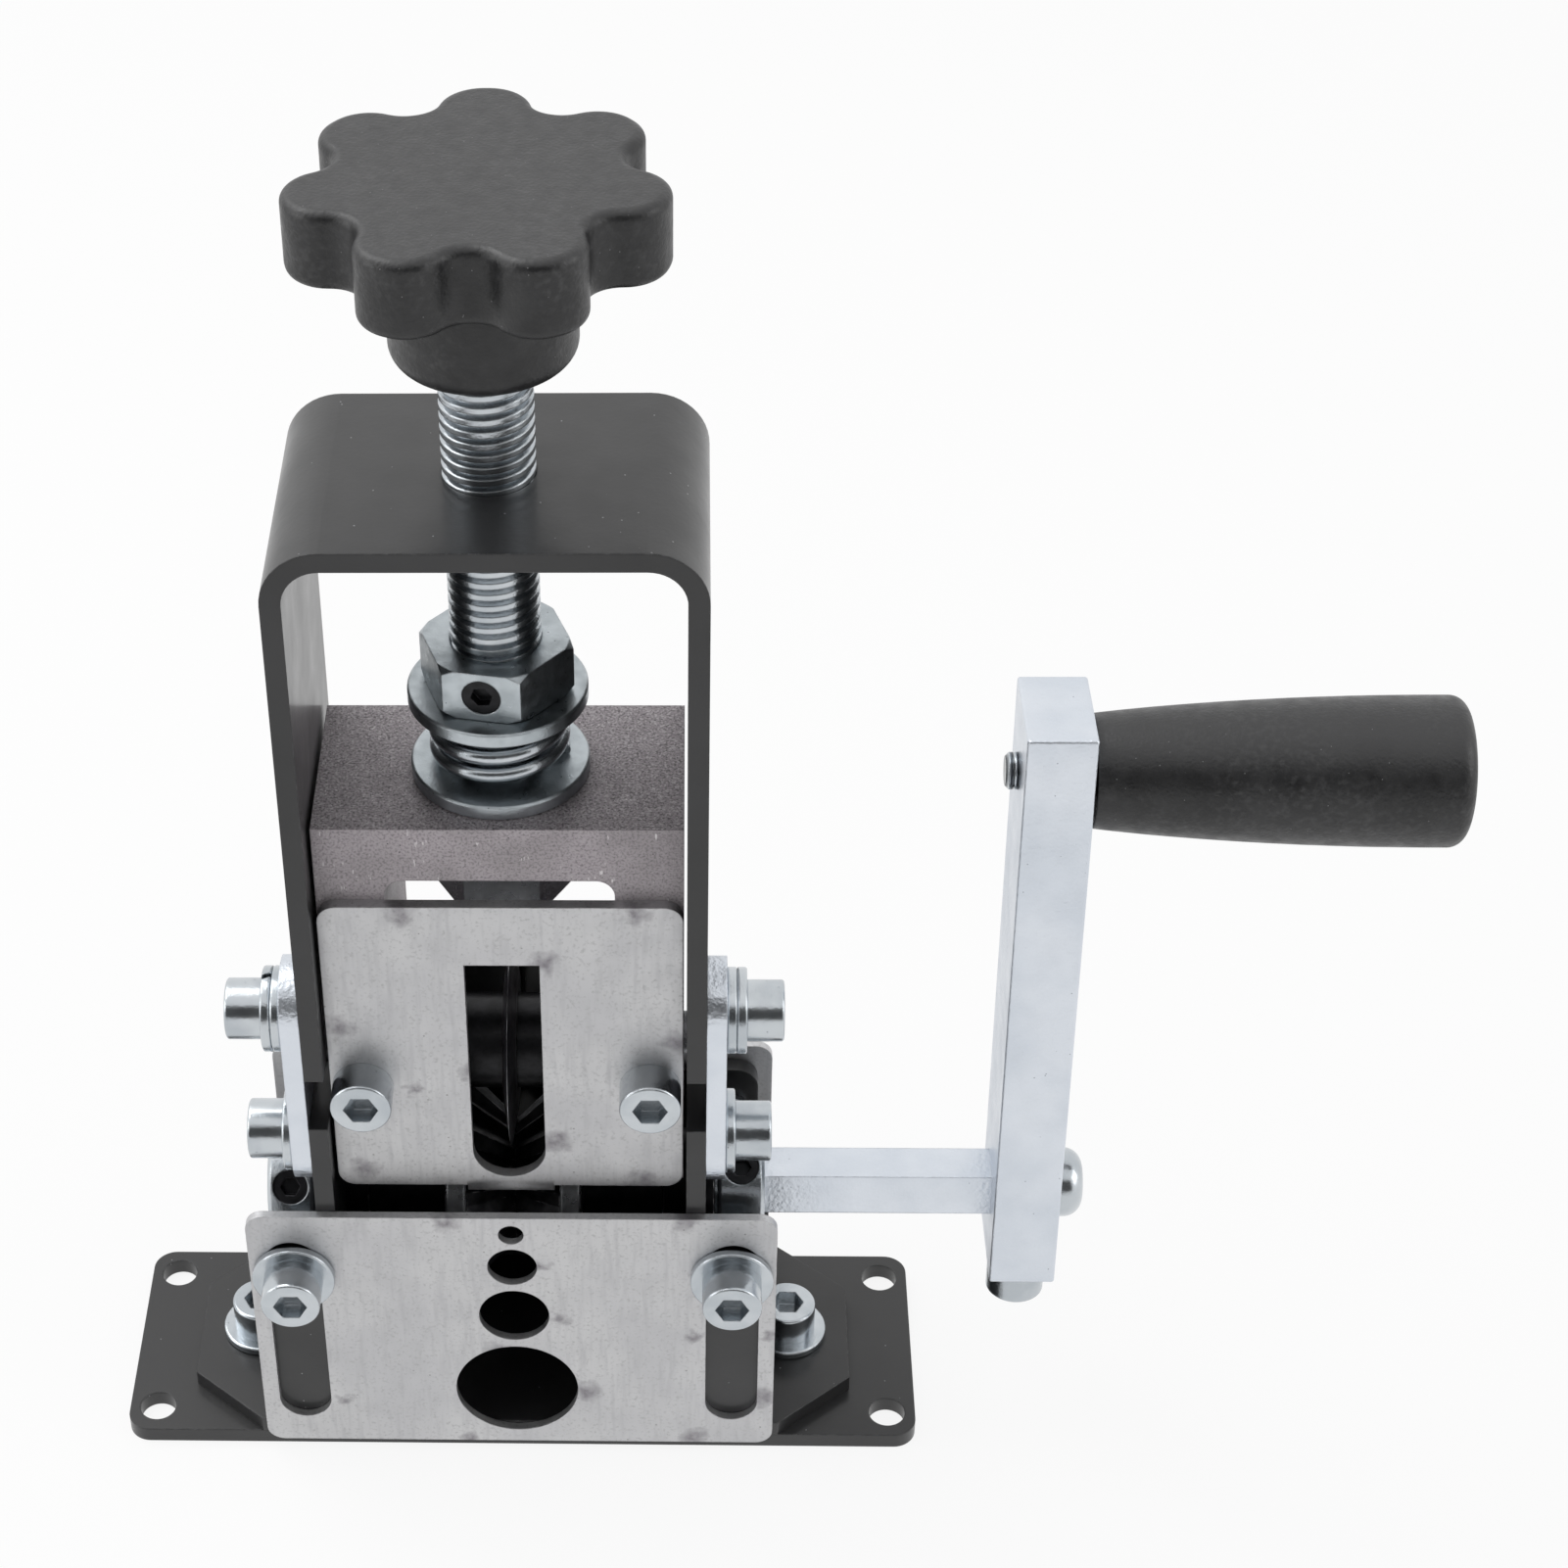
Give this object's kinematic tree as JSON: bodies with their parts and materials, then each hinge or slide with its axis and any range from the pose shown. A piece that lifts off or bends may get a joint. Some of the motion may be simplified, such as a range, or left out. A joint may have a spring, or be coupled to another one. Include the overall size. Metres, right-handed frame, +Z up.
{
  "type": "hand crank wire stripper",
  "caption": "Bench tool that strips cable: a crank turns a toothed V-groove roller under a round blade whose height is set by a star knob and screw in an upright frame.",
  "frame": {"origin": "centre of the base's four bolt holes, on the underside of the base plate", "axes": "+X to the crank, +Y to the rear, +Z up; the front guide plate faces -Y"},
  "size_m": [0.222, 0.0624, 0.2363],
  "materials": {
    "black_paint": "satin black powder coat",
    "black_oxide": "black oxide",
    "zinc_plate": "bright zinc plate",
    "guide_steel": "plain sheet steel, light grey",
    "raw_steel": "machined bare steel, dark grey",
    "shaft_steel": "turned bare steel",
    "blade_steel": "hardened ground steel",
    "roller_steel": "hardened dark steel",
    "bearing_iron": "oiled sintered iron, dark grey",
    "black_plastic": "black moulded plastic"
  },
  "bodies": {
    "base": {"base_plate": "black_paint", "lower_bracket": "black_paint", "base_screws": "zinc_plate", "base_washers": "zinc_plate", "u_frame": "black_paint", "left_strap": "zinc_plate", "right_strap": "zinc_plate", "strap_upper_screws": "zinc_plate", "strap_flat_washers": "zinc_plate", "strap_lock_washers": "zinc_plate", "strap_lower_screws": "zinc_plate", "strap_lower_washers": "zinc_plate", "front_guide_screws": "zinc_plate", "front_guide_washers": "zinc_plate", "rear_guide_screws": "zinc_plate", "rear_guide_washers": "zinc_plate", "left_bush": "bearing_iron", "right_bush": "bearing_iron"},
    "front_guide": {"front_guide_plate": "guide_steel"},
    "rear_guide": {"rear_guide_plate": "guide_steel"},
    "crank": {"drive_shaft": "shaft_steel", "roller_key": "shaft_steel", "left_feed_cone": "roller_steel", "right_feed_cone": "roller_steel", "left_roller_flange": "shaft_steel", "right_roller_flange": "shaft_steel", "roller_sleeves": "black_oxide", "left_thrust_washer": "zinc_plate", "right_thrust_washer": "zinc_plate", "left_collar": "shaft_steel", "right_collar": "shaft_steel", "left_collar_set_screw": "black_oxide", "right_collar_set_screw": "black_oxide", "crank_arm": "zinc_plate", "shaft_end_screw": "zinc_plate", "arm_clamp_screw": "zinc_plate", "grip_spindle": "zinc_plate"},
    "grip_body": {"grip": "black_plastic"},
    "feed": {"upper_washer": "zinc_plate", "spring": "zinc_plate"},
    "pressure_knob": {"pressure_screw": "zinc_plate", "star_knob": "black_plastic", "knob_insert": "shaft_steel", "upper_nut": "zinc_plate", "nut_set_screw": "zinc_plate", "lower_nut": "shaft_steel"},
    "blade_carriage": {"carriage": "raw_steel", "lower_washer": "zinc_plate", "blade_axle": "shaft_steel", "axle_clips": "black_oxide", "blade_cover": "guide_steel", "cover_screws": "zinc_plate", "rear_cover": "black_paint", "rear_cover_screws": "zinc_plate"},
    "blade_disc": {"blade": "blade_steel", "blade_spacers": "black_oxide"}
  },
  "joints": [
    {"name": "screw_feed", "type": "slide", "parent": "base", "child": "feed", "axis": [0, 0, 1], "range_m": [-0.0036, 0.013]},
    {"name": "knob_turn", "type": "hinge", "parent": "feed", "child": "pressure_knob", "pos_m": [0, 0, 0.2], "axis": [0, 0, 1], "range_deg": [-650, 2342]},
    {"name": "blade_float", "type": "slide", "parent": "feed", "child": "blade_carriage", "axis": [0, 0, 1], "range_m": [0, 0.002], "stiffness_N_per_m": 21300, "springref_m": -0.002, "deforming": ["spring"]},
    {"name": "blade_spin", "type": "hinge", "parent": "blade_carriage", "child": "blade_disc", "pos_m": [0, 0, 0.0765], "axis": [1, 0, 0], "continuous": true},
    {"name": "crank_spin", "type": "hinge", "parent": "base", "child": "crank", "pos_m": [0, 0, 0.0441], "axis": [1, 0, 0], "continuous": true},
    {"name": "grip_spin", "type": "hinge", "parent": "crank", "child": "grip_body", "pos_m": [0.12, 0.00732, 0.12778], "axis": [1, 0, 0], "continuous": true},
    {"name": "front_guide_slide", "type": "slide", "parent": "base", "child": "front_guide", "axis": [0, 0, 1], "range_m": [-0.0023, 0.015]},
    {"name": "rear_guide_slide", "type": "slide", "parent": "base", "child": "rear_guide", "axis": [0, 0, 1], "range_m": [0, 0.018]}
  ],
  "couplings": [
    {"joint": "knob_turn", "follows": "screw_feed", "rad_per_m": 3141.6}
  ]
}
